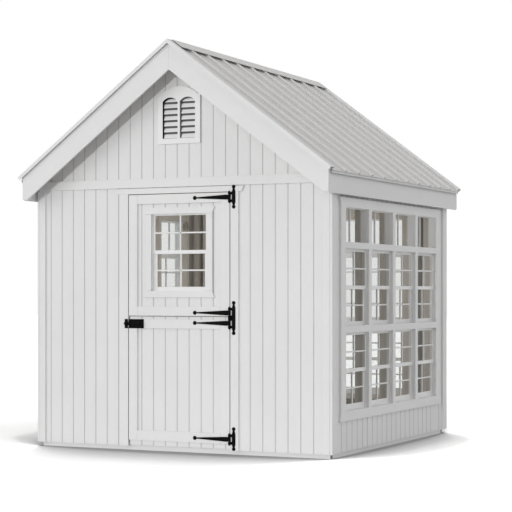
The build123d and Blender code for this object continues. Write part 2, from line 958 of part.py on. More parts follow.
with BuildPart() as casing_ironwork:
    for low, knuckles_low, knuckles_high, high in casing_leaves:
        casing_leaf(low, knuckles_low, knuckles_high, high)
    for middle in upper_straps + lower_straps:
        casing_knuckle(middle - barrel_reach)
        casing_knuckle(middle + barrel_reach - knuckle_high)
        upright(pin, middle - eye_high / 2 - knuckle_gap, eye_high + 2 * knuckle_gap)
    block(keeper_near, keeper_far, iron_face, -trim_face, latch_low, latch_high)
    bolt_guide(keeper_near + guide_wide / 4, keeper_far)
    bolt_bar(keeper_near + guide_wide / 2, keeper_far, bolt_radius, Mode.SUBTRACT)

with BuildPart() as lower_door_ironwork:
    for middle in lower_straps:
        strap(middle)
    block(latch_near, latch_far, iron_face, -trim_face, latch_low, latch_high)
    bolt_guide(latch_near, latch_near + guide_wide)
    bolt_guide(latch_far - guide_wide, latch_far)
    bolt_bar(latch_near, latch_far, bolt_radius)
    with Locations(Location((knob_x, (bolt_depth + knob_depth) / 2, bolt_middle), (90, 0, 0))):
        Cylinder(knob_radius / 2, bolt_depth - knob_depth)
    with Locations((knob_x, knob_depth, bolt_middle)):
        Sphere(knob_radius)

# The left wall and slope mirror the right ones
left_siding = mirror(right_siding.part, about=Plane.YZ)
roof_deck_left = mirror(roof_deck_right.part, about=Plane.YZ)
roof_metal_left = mirror(roof_metal_right.part, about=Plane.YZ)

pieces = {
    "floor_rims": floor_rims.part,
    "floor_joists": floor_joists.part,
    "floor_deck": floor_deck.part,
    "front_siding": front_siding.part,
    "front_gable_siding": front_gable_siding.part,
    "back_siding": back_siding.part,
    "right_siding": right_siding.part,
    "left_siding": left_siding,
    "wall_plates": wall_plates.part,
    "wall_studs": wall_studs.part,
    "window_headers_and_sills": window_headers_and_sills.part,
    "window_stiles": window_stiles.part,
    "window_rails": window_rails.part,
    "window_frames": window_frames.part,
    "window_sashes": window_sashes.part,
    "window_glass": window_glass.part,
    "corner_boards": corner_boards.part,
    "belt_and_header_boards": belt_and_header_boards.part,
    "door_casing": door_casing.part,
    "rafters": rafters.part,
    "ridge_board": ridge_board.part,
    "roof_deck_right": roof_deck_right.part,
    "roof_deck_left": roof_deck_left,
    "roof_metal_right": roof_metal_right.part,
    "roof_metal_left": roof_metal_left,
    "ridge_cap": ridge_cap.part,
    "rake_boards": rake_boards.part,
    "gable_flashing": gable_flashing.part,
    "fascia_boards": fascia_boards.part,
    "eave_drips": eave_drips.part,
    "gable_vent": gable_vent.part,
    "gable_vent_slats": gable_vent_slats.part,
    "casing_ironwork": casing_ironwork.part,
    "upper_door_boards": upper_door_boards.part,
    "upper_door_trim": upper_door_trim.part,
    "upper_door_window": upper_door_window.part,
    "upper_door_glass": upper_door_glass.part,
    "upper_door_straps": upper_door_straps.part,
    "lower_door_boards": lower_door_boards.part,
    "lower_door_trim": lower_door_trim.part,
    "lower_door_ironwork": lower_door_ironwork.part,
}

for name, piece in pieces.items():
    piece.label = name
    export_step(piece, f"parts/{name}.step")
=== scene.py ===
import math

import bpy
import bmesh
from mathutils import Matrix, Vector


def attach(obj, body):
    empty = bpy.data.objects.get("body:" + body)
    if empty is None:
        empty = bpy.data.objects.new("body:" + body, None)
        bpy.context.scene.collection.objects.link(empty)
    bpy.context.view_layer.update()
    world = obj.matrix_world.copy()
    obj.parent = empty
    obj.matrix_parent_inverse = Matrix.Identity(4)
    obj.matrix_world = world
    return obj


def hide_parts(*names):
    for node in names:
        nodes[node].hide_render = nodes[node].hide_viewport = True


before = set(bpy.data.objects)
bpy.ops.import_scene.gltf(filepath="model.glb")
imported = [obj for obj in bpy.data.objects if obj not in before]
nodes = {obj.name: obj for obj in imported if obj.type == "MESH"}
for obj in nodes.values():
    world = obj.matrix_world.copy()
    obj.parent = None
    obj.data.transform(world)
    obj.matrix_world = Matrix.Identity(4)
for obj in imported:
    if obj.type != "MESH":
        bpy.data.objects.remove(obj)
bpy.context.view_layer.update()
scene = bpy.context.scene

INCH = 0.0254

# Sizes repeated from the CAD source, in metres
HALF = 48.0 * INCH
FACE = 48.5 * INCH
JAMB = 17.12 * INCH
SIDING_LOW = 1.28 * INCH
PANEL_JOINT = 79.7 * INCH
HEAD_UNDER = 76.5 * INCH
RAFTER_OVER = 119.55 * INCH
DECK_OVER = 120.15 * INCH
METAL_TIP = 51.9 * INCH
PITCH = 0.75
SLOPE_COS = 0.8
SLOPE_SIN = 0.6
LEAF_HALF = 16.85 * INCH
BAY_MIDDLES = [-30.0 * INCH, -10.0 * INCH, 10.0 * INCH, 30.0 * INCH]

# Grooves of the panel siding, 4 inches apart on every wall
GROOVES = [(-44.75 + 4 * number) * INCH for number in range(24)]
GROOVE_WIDE = 0.38 * INCH
GROOVE_DEEP = 0.14 * INCH
GROOVE_SLOPE = 0.05 * INCH
GROOVE_CLEAR = 0.001


# Materials

def node_material(name):
    material = bpy.data.materials.new(name)
    material.use_nodes = True
    tree = material.node_tree
    tree.nodes.clear()
    output = tree.nodes.new("ShaderNodeOutputMaterial")
    shader = tree.nodes.new("ShaderNodeBsdfPrincipled")
    tree.links.new(shader.outputs["BSDF"], output.inputs["Surface"])
    return material, tree, shader


def noise(tree, scale, detail=3.0, roughness=0.55, stretch=(1, 1, 1), distortion=0.0):
    """Noise in the object's own coordinates, in metres."""
    place = tree.nodes.new("ShaderNodeTexCoord")
    mapping = tree.nodes.new("ShaderNodeMapping")
    mapping.inputs["Scale"].default_value = stretch
    texture = tree.nodes.new("ShaderNodeTexNoise")
    texture.inputs["Scale"].default_value = scale
    texture.inputs["Detail"].default_value = detail
    texture.inputs["Roughness"].default_value = roughness
    texture.inputs["Distortion"].default_value = distortion
    tree.links.new(place.outputs["Object"], mapping.inputs["Vector"])
    tree.links.new(mapping.outputs["Vector"], texture.inputs["Vector"])
    return texture.outputs["Fac"]


def ramp(tree, source, stops):
    """A colour ramp: stops are (position, colour)."""
    node = tree.nodes.new("ShaderNodeValToRGB")
    elements = node.color_ramp.elements
    while len(elements) < len(stops):
        elements.new(0.5)
    for element, (position, colour) in zip(elements, stops):
        element.position = position
        element.color = (*colour, 1.0)
    tree.links.new(source, node.inputs["Fac"])
    return node.outputs["Color"]


def multiply(tree, first, second):
    node = tree.nodes.new("ShaderNodeMix")
    node.data_type = "RGBA"
    node.blend_type = "MULTIPLY"
    node.inputs["Factor"].default_value = 1.0
    tree.links.new(first, node.inputs["A"])
    tree.links.new(second, node.inputs["B"])
    return node.outputs["Result"]


def remap(tree, source, low, high):
    node = tree.nodes.new("ShaderNodeMapRange")
    node.inputs["To Min"].default_value = low
    node.inputs["To Max"].default_value = high
    tree.links.new(source, node.inputs["Value"])
    return node.outputs["Result"]


def bump(tree, shader, height, distance, strength=1.0):
    node = tree.nodes.new("ShaderNodeBump")
    node.inputs["Strength"].default_value = strength
    node.inputs["Distance"].default_value = distance
    tree.links.new(height, node.inputs["Height"])
    tree.links.new(node.outputs["Normal"], shader.inputs["Normal"])


def grey(value, warm=0.0):
    return (value * (1 + warm), value, value * (1 - warm))


STRETCH = {"x": (0.06, 1, 1), "y": (1, 0.06, 1), "z": (1, 1, 0.06), "none": (1, 1, 1)}


def paint(name, value, grain, roughness=0.5, depth=0.0006, warm=0.0):
    """Exterior paint over a board: faint grain along one axis, faint clouding."""
    material, tree, shader = node_material(name)
    fine = noise(tree, scale=260, detail=4, roughness=0.6, stretch=STRETCH[grain])
    cloud = noise(tree, scale=2.2, detail=3, roughness=0.5)
    tint = ramp(tree, fine, [(0.25, grey(value * 0.955, warm)), (0.75, grey(value, warm))])
    patches = ramp(tree, cloud, [(0.3, grey(0.965)), (0.7, grey(1.0))])
    tree.links.new(multiply(tree, tint, patches), shader.inputs["Base Color"])
    tree.links.new(remap(tree, fine, low=roughness - 0.06, high=roughness + 0.1), shader.inputs["Roughness"])
    shader.inputs["Specular IOR Level"].default_value = 0.35
    bump(tree, shader, fine, distance=depth, strength=0.5)
    return material


def plastic(name, value):
    material, tree, shader = node_material(name)
    fine = noise(tree, scale=420, detail=2, roughness=0.5)
    cloud = noise(tree, scale=5, detail=2, roughness=0.5)
    tint = ramp(tree, cloud, [(0.3, grey(value * 0.975)), (0.7, grey(value))])
    tree.links.new(tint, shader.inputs["Base Color"])
    tree.links.new(remap(tree, fine, low=0.3, high=0.42), shader.inputs["Roughness"])
    bump(tree, shader, fine, distance=0.0001, strength=0.3)
    return material


def timber(name, light, dark, grain, knots=True, ring_scale=34.0):
    """Unpainted softwood: rings stretched along the board, fine fibre and a few knots."""
    material, tree, shader = node_material(name)
    rings = noise(tree, scale=ring_scale, detail=3, roughness=0.55, stretch=STRETCH[grain], distortion=1.4)
    fibre = noise(tree, scale=420, detail=3, roughness=0.6, stretch=STRETCH[grain])
    colour = ramp(tree, rings, [(0.3, dark), (0.5, light), (0.62, dark), (0.75, light)])
    threads = ramp(tree, fibre, [(0.3, grey(0.86)), (0.7, grey(1.0))])
    colour = multiply(tree, colour, threads)
    if knots:
        spots = noise(tree, scale=4.2, detail=1, roughness=0.4, stretch=STRETCH["none"])
        colour = multiply(tree, colour, ramp(tree, spots, [(0.24, grey(0.45, 0.08)), (0.29, grey(1.0))]))
    tree.links.new(colour, shader.inputs["Base Color"])
    tree.links.new(remap(tree, fibre, low=0.6, high=0.8), shader.inputs["Roughness"])
    bump(tree, shader, fibre, distance=0.0005, strength=0.5)
    return material


def coated_metal(name, value, warm=0.0):
    """Coated steel sheet: slight clouding, fine orange peel and faint streaks down the slope."""
    material, tree, shader = node_material(name)
    peel = noise(tree, scale=900, detail=2, roughness=0.5)
    cloud = noise(tree, scale=3.5, detail=3, roughness=0.55)
    streak = noise(tree, scale=40, detail=2, roughness=0.5, stretch=(0.05, 1, 0.05))
    tint = ramp(tree, cloud, [(0.3, grey(value * 0.965, warm)), (0.7, grey(value, warm))])
    lines = ramp(tree, streak, [(0.3, grey(0.975)), (0.7, grey(1.0))])
    tree.links.new(multiply(tree, tint, lines), shader.inputs["Base Color"])
    tree.links.new(remap(tree, cloud, low=0.36, high=0.48), shader.inputs["Roughness"])
    bump(tree, shader, peel, distance=0.0001, strength=0.25)
    return material


def black_iron(name):
    material, tree, shader = node_material(name)
    pits = noise(tree, scale=500, detail=3, roughness=0.6)
    wear = noise(tree, scale=45, detail=3, roughness=0.6)
    tint = ramp(tree, wear, [(0.3, grey(0.0025)), (0.75, grey(0.006, 0.03))])
    tree.links.new(tint, shader.inputs["Base Color"])
    tree.links.new(remap(tree, wear, low=0.62, high=0.8), shader.inputs["Roughness"])
    shader.inputs["Specular IOR Level"].default_value = 0.05
    bump(tree, shader, pits, distance=0.0003, strength=0.6)
    return material


def mesh_and_painted_shadow(name, light):
    """A fine mottled mesh, for the insect screen and the weather strip, and for the painted shadow beside the
    louvres.
    """
    material, tree, shader = node_material(name)
    wires = noise(tree, scale=1500, detail=1, roughness=0.4)
    tint = ramp(tree, wires, [(0.45, grey(light * 0.5)), (0.7, grey(light))])
    tree.links.new(tint, shader.inputs["Base Color"])
    shader.inputs["Roughness"].default_value = 0.9
    shader.inputs["Specular IOR Level"].default_value = 0.1
    bump(tree, shader, wires, distance=0.0004, strength=0.6)
    return material


def painted_outside(name, value, light, dark, grain, reach_x, reach_y):
    """Floor lumber and roof ply: painted past a reach from the middle, bare within it."""
    material, tree, shader = node_material(name)
    fibre = noise(tree, scale=300, detail=3, roughness=0.6, stretch=STRETCH[grain])
    bare = ramp(tree, fibre, [(0.3, dark), (0.7, light)])
    coat = ramp(tree, fibre, [(0.25, grey(value * 0.95)), (0.75, grey(value))])
    place = tree.nodes.new("ShaderNodeTexCoord")
    axes = tree.nodes.new("ShaderNodeSeparateXYZ")
    tree.links.new(place.outputs["Object"], axes.inputs["Vector"])
    outside = []
    for axis, reach in (("X", reach_x), ("Y", reach_y)):
        size = tree.nodes.new("ShaderNodeMath")
        size.operation = "ABSOLUTE"
        tree.links.new(axes.outputs[axis], size.inputs[0])
        past = tree.nodes.new("ShaderNodeMath")
        past.operation = "GREATER_THAN"
        past.inputs[1].default_value = reach
        tree.links.new(size.outputs["Value"], past.inputs[0])
        outside.append(past.outputs["Value"])
    either = tree.nodes.new("ShaderNodeMath")
    either.operation = "MAXIMUM"
    tree.links.new(outside[0], either.inputs[0])
    tree.links.new(outside[1], either.inputs[1])
    mix = tree.nodes.new("ShaderNodeMix")
    mix.data_type = "RGBA"
    tree.links.new(either.outputs["Value"], mix.inputs["Factor"])
    tree.links.new(bare, mix.inputs["A"])
    tree.links.new(coat, mix.inputs["B"])
    tree.links.new(mix.outputs["Result"], shader.inputs["Base Color"])
    shader.inputs["Roughness"].default_value = 0.6
    bump(tree, shader, fibre, distance=0.0005, strength=0.5)
    return material


def clear_glass(name):
    """Clear sheet glass: you look through it, and it takes a soft sheen at a low angle."""
    material = bpy.data.materials.new(name)
    material.use_nodes = True
    tree = material.node_tree
    tree.nodes.clear()
    output = tree.nodes.new("ShaderNodeOutputMaterial")
    clear = tree.nodes.new("ShaderNodeBsdfTransparent")
    clear.inputs["Color"].default_value = (0.955, 0.96, 0.955, 1.0)
    gloss = tree.nodes.new("ShaderNodeBsdfPrincipled")
    gloss.inputs["Base Color"].default_value = (0.5, 0.52, 0.52, 1.0)
    smear = noise(tree, scale=7, detail=2, roughness=0.5)
    tree.links.new(remap(tree, smear, low=0.02, high=0.06), gloss.inputs["Roughness"])
    edge = tree.nodes.new("ShaderNodeLayerWeight")
    edge.inputs["Blend"].default_value = 0.25
    mix = tree.nodes.new("ShaderNodeMixShader")
    tree.links.new(remap(tree, edge.outputs["Facing"], low=0.03, high=0.2), mix.inputs["Fac"])
    tree.links.new(clear.outputs["BSDF"], mix.inputs[1])
    tree.links.new(gloss.outputs["BSDF"], mix.inputs[2])
    tree.links.new(mix.outputs["Shader"], output.inputs["Surface"])
    return material


SIDING_VALUE = 0.825
# The grooves' colour is darker than the faces: painted shade in the V grooves
GROOVE_SHADE_VALUE = 0.66
TRIM_VALUE = 0.825
RIM_VALUE = 0.78
EAVE_VALUE = 0.8
FLOOR_LIGHT = (0.30, 0.29, 0.22)
FLOOR_DARK = (0.22, 0.21, 0.16)
PLY_LIGHT = (0.38, 0.32, 0.25)
PLY_DARK = (0.29, 0.24, 0.18)

# How far from the middle the paint of the floor lumber starts; the last is past the whole building
RIM_PAINT_X = 49 * INCH
RIM_PAINT_Y = 47.7 * INCH
JOIST_PAINT_X = 47.9 * INCH
UNPAINTED_REACH = 2.0

siding_paint = paint("siding_paint", SIDING_VALUE, "z", roughness=0.52, depth=0.0009)
groove_painted_shade = paint("groove_painted_shade", GROOVE_SHADE_VALUE, "z", roughness=0.6, depth=0.0009)
trim_upright = paint("trim_paint_upright", TRIM_VALUE, "z", roughness=0.46, depth=0.0006)
trim_across = paint("trim_paint_across", TRIM_VALUE, "x", roughness=0.46, depth=0.0006)
trim_side = paint("trim_paint_side", TRIM_VALUE, "y", roughness=0.46, depth=0.0006)
trim_plain = paint("trim_paint_plain", TRIM_VALUE, "none", roughness=0.46, depth=0.0005)
siding_back = timber("siding_back", (0.46, 0.42, 0.375), (0.38, 0.345, 0.30), "z", knots=False, ring_scale=60)
sash_plastic = plastic("sash_plastic", 0.84)
glass_sheet = clear_glass("glass_sheet")
stud_wood = timber("stud_wood", (0.66, 0.61, 0.55), (0.56, 0.505, 0.44), "z")
plate_wood = timber("plate_wood", (0.66, 0.61, 0.55), (0.56, 0.505, 0.44), "y")
rafter_wood = timber("rafter_wood", (0.60, 0.55, 0.48), (0.50, 0.445, 0.38), "x")
rim_wood = painted_outside("rim_wood", RIM_VALUE, FLOOR_LIGHT, FLOOR_DARK, "x", RIM_PAINT_X, RIM_PAINT_Y)
joist_wood = painted_outside(
    "joist_wood", RIM_VALUE, FLOOR_LIGHT, FLOOR_DARK, "y", JOIST_PAINT_X, UNPAINTED_REACH
)
deck_ply = timber("deck_ply", (0.40, 0.33, 0.25), (0.30, 0.24, 0.18), "y", ring_scale=16)
roof_ply = painted_outside("roof_ply", EAVE_VALUE, PLY_LIGHT, PLY_DARK, "y", FACE, FACE)
roof_metal = coated_metal("roof_metal", 0.72, warm=0.012)
white_metal = coated_metal("white_metal", 0.80)
screen_grey = mesh_and_painted_shadow("screen_grey", 0.2)
# Painted shadow in the vent's gap: near black at the left light, dim grey at the right
vent_painted_shadow_deep = mesh_and_painted_shadow("vent_painted_shadow_deep", 0.016)
vent_painted_shadow_soft = mesh_and_painted_shadow("vent_painted_shadow_soft", 0.17)
weather_strip = mesh_and_painted_shadow("weather_strip", 0.42)
iron_black = black_iron("iron_black")

NODE_MATERIALS = {
    "floor_rims": rim_wood,
    "floor_joists": joist_wood,
    "floor_deck": deck_ply,
    "wall_plates": plate_wood,
    "wall_studs": stud_wood,
    "window_headers_and_sills": plate_wood,
    "window_stiles": trim_upright,
    "window_rails": trim_side,
    "window_frames": sash_plastic,
    "window_sashes": sash_plastic,
    "window_glass": glass_sheet,
    "corner_boards": trim_upright,
    "belt_and_header_boards": trim_across,
    "door_casing": trim_upright,
    "rafters": rafter_wood,
    "ridge_board": plate_wood,
    "roof_deck_right": roof_ply,
    "roof_deck_left": roof_ply,
    "roof_metal_right": roof_metal,
    "roof_metal_left": roof_metal,
    "ridge_cap": roof_metal,
    "rake_boards": trim_plain,
    "gable_flashing": white_metal,
    "fascia_boards": trim_side,
    "eave_drips": white_metal,
    "gable_vent": sash_plastic,
    "gable_vent_slats": sash_plastic,
    "casing_ironwork": iron_black,
    "upper_door_trim": trim_upright,
    "upper_door_window": sash_plastic,
    "upper_door_glass": glass_sheet,
    "upper_door_straps": iron_black,
    "lower_door_trim": trim_upright,
    "lower_door_ironwork": iron_black,
}


def set_material(obj, material):
    obj.data.materials.clear()
    obj.data.materials.append(material)


for node_name, node_object in nodes.items():
    set_material(node_object, NODE_MATERIALS.get(node_name, siding_paint))


# Softened edges on the CAD boards and window frames
WELD_GAP = 0.00002
EDGE_ANGLE = 40
BOARD_EDGE = 0.0016
SASH_EDGE = 0.0009


def soften(node_name, width, segments=2):
    node_object = nodes[node_name]
    weld = node_object.modifiers.new("weld", "WELD")
    weld.merge_threshold = WELD_GAP
    edge = node_object.modifiers.new("soft_edge", "BEVEL")
    edge.width = width
    edge.segments = segments
    edge.limit_method = "ANGLE"
    edge.angle_limit = math.radians(EDGE_ANGLE)
    edge.harden_normals = False


for board_node in (
    "corner_boards", "belt_and_header_boards", "door_casing", "rake_boards", "fascia_boards",
    "window_stiles", "window_rails",
    "upper_door_trim", "lower_door_trim", "gable_vent",
):
    soften(board_node, BOARD_EDGE)

for part_node in ("window_sashes", "upper_door_window"):
    soften(part_node, SASH_EDGE)


# Mesh helpers

def add_object(name, build, materials, body, replaced=()):
    """Builds one piece: build(mesh) fills a bmesh, and the piece rides on a body."""
    mesh = bmesh.new()
    build(mesh)
    bmesh.ops.recalc_face_normals(mesh, faces=mesh.faces)
    data = bpy.data.meshes.new(name)
    mesh.to_mesh(data)
    mesh.free()
    piece = bpy.data.objects.new(name, data)
    scene.collection.objects.link(piece)
    for material in materials:
        data.materials.append(material)
    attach(piece, body)
    if replaced:
        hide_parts(*replaced)
    return piece


def face_of(mesh, points, index=0):
    face = mesh.faces.new(points)
    face.material_index = index
    return face


def add_box(mesh, low, high, index=0):
    corners = [
        mesh.verts.new((x, y, z))
        for x in (low[0], high[0])
        for y in (low[1], high[1])
        for z in (low[2], high[2])
    ]
    for ring in ((0, 1, 3, 2), (4, 6, 7, 5), (0, 4, 5, 1), (2, 3, 7, 6), (0, 2, 6, 4), (1, 5, 7, 3)):
        face_of(mesh, [corners[number] for number in ring], index)


def join_rings(mesh, rings, index=0):
    """Joins a row of equal rings of corners and closes both ends."""
    for first, second in zip(rings[:-1], rings[1:]):
        for number in range(len(first)):
            following = (number + 1) % len(first)
            face_of(mesh, (first[number], first[following], second[following], second[number]), index)
    face_of(mesh, list(reversed(rings[0])), index)
    face_of(mesh, rings[-1], index)


# Material places of the grooved panels and the door leaves
FACE_PAINT = 0
BACK_WOOD = 1
# The groove faces take the painted shade of the grooves
GROOVE_SHADE = 2
BACKING_WOOD = 3


def grooved_panel(mesh, place, start, stop, low, high, front, back, grooves=GROOVES):
    """Panel from start to stop along the wall, with V grooves in its face. high is a number or a function."""
    top = high if callable(high) else (lambda along: high)
    line = [(start, front)]
    for groove in grooves:
        left = groove - GROOVE_WIDE / 2
        right = groove + GROOVE_WIDE / 2
        if left <= start + GROOVE_CLEAR or right >= stop - GROOVE_CLEAR:
            continue
        step = GROOVE_DEEP if front > back else -GROOVE_DEEP
        line.append((left, front))
        line.append((left + GROOVE_SLOPE, front - step))
        line.append((right - GROOVE_SLOPE, front - step))
        line.append((right, front))
    line.append((stop, front))
    ring = line + [(stop, back), (start, back)]
    lower = [mesh.verts.new(place(along, depth, low)) for along, depth in ring]
    upper = [mesh.verts.new(place(along, depth, top(along))) for along, depth in ring]
    count = len(ring)
    for number in range(count):
        following = (number + 1) % count
        depths = (ring[number][1], ring[following][1])
        if number == count - 2:
            index = BACK_WOOD
        elif number < count - 3 and depths != (front, front):
            index = GROOVE_SHADE
        else:
            index = FACE_PAINT
        face_of(mesh, (lower[number], lower[following], upper[following], upper[number]), index)
    face_of(mesh, list(reversed(lower)))
    face_of(mesh, upper)


def front_place(along, depth, height):
    return (along, -depth, height)


def back_place(along, depth, height):
    return (along, depth, height)


def right_place(along, depth, height):
    return (depth, along, height)


def left_place(along, depth, height):
    return (-depth, along, height)


def gable_top(along):
    return RAFTER_OVER - PITCH * abs(along)


# Grooved panel siding

def build_front_siding(mesh):
    for start, stop in ((-FACE, -JAMB), (JAMB, FACE)):
        grooved_panel(mesh, front_place, start, stop, SIDING_LOW, PANEL_JOINT, FACE, HALF)


def build_front_gable(mesh):
    grooved_panel(mesh, front_place, -JAMB, JAMB, HEAD_UNDER, PANEL_JOINT, FACE, HALF)
    grooved_panel(mesh, front_place, -FACE, 0, PANEL_JOINT, gable_top, FACE, HALF)
    grooved_panel(mesh, front_place, 0, FACE, PANEL_JOINT, gable_top, FACE, HALF)


HOLE_HALF = 39.4 * INCH
HOLE_LOW = 12.45 * INCH
HOLE_HIGH = 72.3 * INCH
SIDING_HIGH = 78.6 * INCH


def holed_wall(mesh, place, reach, top):
    grooved_panel(mesh, place, -reach, -HOLE_HALF, SIDING_LOW, top, FACE, HALF)
    grooved_panel(mesh, place, HOLE_HALF, reach, SIDING_LOW, top, FACE, HALF)
    grooved_panel(mesh, place, -HOLE_HALF, HOLE_HALF, SIDING_LOW, HOLE_LOW, FACE, HALF)
    grooved_panel(mesh, place, -HOLE_HALF, HOLE_HALF, HOLE_HIGH, top, FACE, HALF)


def build_back_siding(mesh):
    holed_wall(mesh, back_place, FACE, PANEL_JOINT)
    grooved_panel(mesh, back_place, -FACE, 0, PANEL_JOINT, gable_top, FACE, HALF)
    grooved_panel(mesh, back_place, 0, FACE, PANEL_JOINT, gable_top, FACE, HALF)


def side_builder(place):
    def build(mesh):
        holed_wall(mesh, place, HALF, SIDING_HIGH)
    return build


siding_materials = [siding_paint, siding_back, groove_painted_shade]
for piece_name, build_piece, siding_node in (
    ("front_grooved_siding", build_front_siding, "front_siding"),
    ("front_grooved_gable", build_front_gable, "front_gable_siding"),
    ("back_grooved_siding", build_back_siding, "back_siding"),
    ("right_grooved_siding", side_builder(right_place), "right_siding"),
    ("left_grooved_siding", side_builder(left_place), "left_siding"),
):
    add_object(piece_name, build_piece, siding_materials, "building", [siding_node])


# Door leaves
BACKING = 0.75 * INCH
BACKING_WIDE = 2.5 * INCH
UPPER_LOW = 40.25 * INCH
DOOR_TOP = 76.25 * INCH
DOOR_LOW = 1.6 * INCH
LOWER_TOP = 40.02 * INCH
BACKING_LOW = 4.6 * INCH
LEAF_HOLE_HALF = 9.4 * INCH
LEAF_HOLE_LOW = 47.37 * INCH
LEAF_HOLE_HIGH = 70.63 * INCH


def leaf_backing(mesh, low, high):
    back = -HALF + BACKING
    for side in (-1, 1):
        edges = sorted((side * LEAF_HALF, side * (LEAF_HALF - BACKING_WIDE)))
        add_box(mesh, (edges[0], -HALF, low), (edges[1], back, high), BACKING_WOOD)
    inner = LEAF_HALF - BACKING_WIDE
    add_box(mesh, (-inner, -HALF, low), (inner, back, low + BACKING_WIDE), BACKING_WOOD)
    add_box(mesh, (-inner, -HALF, high - BACKING_WIDE), (inner, back, high), BACKING_WOOD)


def build_upper_leaf(mesh):
    grooved_panel(mesh, front_place, -LEAF_HALF, -LEAF_HOLE_HALF, UPPER_LOW, DOOR_TOP, FACE, HALF)
    grooved_panel(mesh, front_place, LEAF_HOLE_HALF, LEAF_HALF, UPPER_LOW, DOOR_TOP, FACE, HALF)
    grooved_panel(mesh, front_place, -LEAF_HOLE_HALF, LEAF_HOLE_HALF, UPPER_LOW, LEAF_HOLE_LOW, FACE, HALF)
    grooved_panel(mesh, front_place, -LEAF_HOLE_HALF, LEAF_HOLE_HALF, LEAF_HOLE_HIGH, DOOR_TOP, FACE, HALF)
    leaf_backing(mesh, UPPER_LOW, DOOR_TOP)


def build_lower_leaf(mesh):
    grooved_panel(mesh, front_place, -LEAF_HALF, LEAF_HALF, DOOR_LOW, LOWER_TOP, FACE, HALF)
    leaf_backing(mesh, BACKING_LOW, LOWER_TOP)


leaf_materials = [siding_paint, siding_back, groove_painted_shade, stud_wood]
for leaf_name, build_leaf in (("upper_door", build_upper_leaf), ("lower_door", build_lower_leaf)):
    add_object(
        leaf_name + "_grooved_boards", build_leaf, leaf_materials, leaf_name, [leaf_name + "_boards"]
    )


# Window bars: each sash has four panes, each fixed light two
BAR_WIDE = 0.5 * INCH
BAR_FACE = 0.36 * INCH
BAR_DEEP = 0.19 * INCH
SASH_WIDE = 1.1 * INCH
FRAME_WIDE = 0.6 * INCH
FRAME_SIDE = 0.35 * INCH
SASH_HALF = 8.9 * INCH
OUTER_STILE = 0.35 * INCH
INNER_STILE = 0.65 * INCH
FOOT_RAIL = 1.6 * INCH
MEET = 0.55 * INCH
GLASS = 0.12 * INCH
SASH_THICK = 0.5 * INCH
OUTER_SASH_IN = 47.6 * INCH
INNER_SASH_IN = 47.05 * INCH
FIXED_GLASS_IN = 46.5 * INCH
FIXED_ROW = (60.85 * INCH, 72.3 * INCH)
HUNG_ROWS = [(12.45 * INCH, 36.45 * INCH), (36.5 * INCH, 60.8 * INCH)]


def bar(mesh, place, middle, start, stop, upright, foot, crown):
    """A bar with sloped sides standing on the glass, from depth foot to depth crown."""
    rings = []
    for end in (start, stop):
        ring = []
        for offset, depth in (
            (-BAR_WIDE / 2, foot),
            (-BAR_FACE / 2, crown),
            (BAR_FACE / 2, crown),
            (BAR_WIDE / 2, foot),
        ):
            if upright:
                ring.append(mesh.verts.new(place(middle + offset, depth, end)))
            else:
                ring.append(mesh.verts.new(place(end, depth, middle + offset)))
        rings.append(ring)
    join_rings(mesh, rings)


def cross_bars(mesh, place, middle, half_wide, low, high, glass_in, across=True):
    """Bars on both faces of one pane: one upright and, in a sash, one across."""
    glass_out = glass_in + GLASS
    for foot, crown in ((glass_out, glass_out + BAR_DEEP), (glass_in, glass_in - BAR_DEEP)):
        bar(mesh, place, middle, low, high, True, foot, crown)
        if across:
            bar(mesh, place, (low + high) / 2, middle - half_wide, middle + half_wide, False, foot, crown)


def build_window_bars(mesh):
    outer_glass = OUTER_SASH_IN + (SASH_THICK - GLASS) / 2
    inner_glass = INNER_SASH_IN + (SASH_THICK - GLASS) / 2
    outer_half = SASH_HALF - OUTER_STILE
    inner_half = SASH_HALF - INNER_STILE
    fixed_low = FIXED_ROW[0] + FRAME_WIDE
    fixed_high = FIXED_ROW[1] - FRAME_WIDE
    for place in (right_place, back_place, left_place):
        for middle in BAY_MIDDLES:
            for low, high in HUNG_ROWS:
                meeting = (low + high) / 2
                outer_low = meeting - MEET + SASH_WIDE
                outer_high = high - FRAME_WIDE - SASH_WIDE
                cross_bars(mesh, place, middle, outer_half, outer_low, outer_high, outer_glass)
                inner_low = low + FRAME_WIDE + FOOT_RAIL
                inner_high = meeting + MEET - SASH_WIDE
                cross_bars(mesh, place, middle, inner_half, inner_low, inner_high, inner_glass)
            cross_bars(mesh, place, middle, SASH_HALF, fixed_low, fixed_high, FIXED_GLASS_IN, False)


add_object("window_bars", build_window_bars, [sash_plastic], "building")

LEAF_MEET = 59.15 * INCH
LEAF_SASH_THICK = 0.4 * INCH
LEAF_OUTER_BACK = 47.6 * INCH
LEAF_INNER_BACK = 47.18 * INCH
LEAF_TOP_RAIL = 0.3 * INCH
LEAF_FOOT_RAIL = 1.13 * INCH
LEAF_OUTER_STILE = 0.58 * INCH
LEAF_INNER_STILE = 1.08 * INCH


def build_leaf_bars(mesh):
    inset = (LEAF_SASH_THICK - GLASS) / 2
    sash_half = LEAF_HOLE_HALF - FRAME_SIDE
    meet_low = LEAF_MEET - MEET + SASH_WIDE
    meet_high = LEAF_MEET + MEET - SASH_WIDE
    top = LEAF_HOLE_HIGH - FRAME_SIDE - LEAF_TOP_RAIL
    foot = LEAF_HOLE_LOW + FRAME_SIDE + LEAF_FOOT_RAIL
    cross_bars(mesh, front_place, 0, sash_half - LEAF_OUTER_STILE, meet_low, top, LEAF_OUTER_BACK + inset)
    cross_bars(mesh, front_place, 0, sash_half - LEAF_INNER_STILE, foot, meet_high, LEAF_INNER_BACK + inset)


add_object("upper_door_window_bars", build_leaf_bars, [sash_plastic], "upper_door")


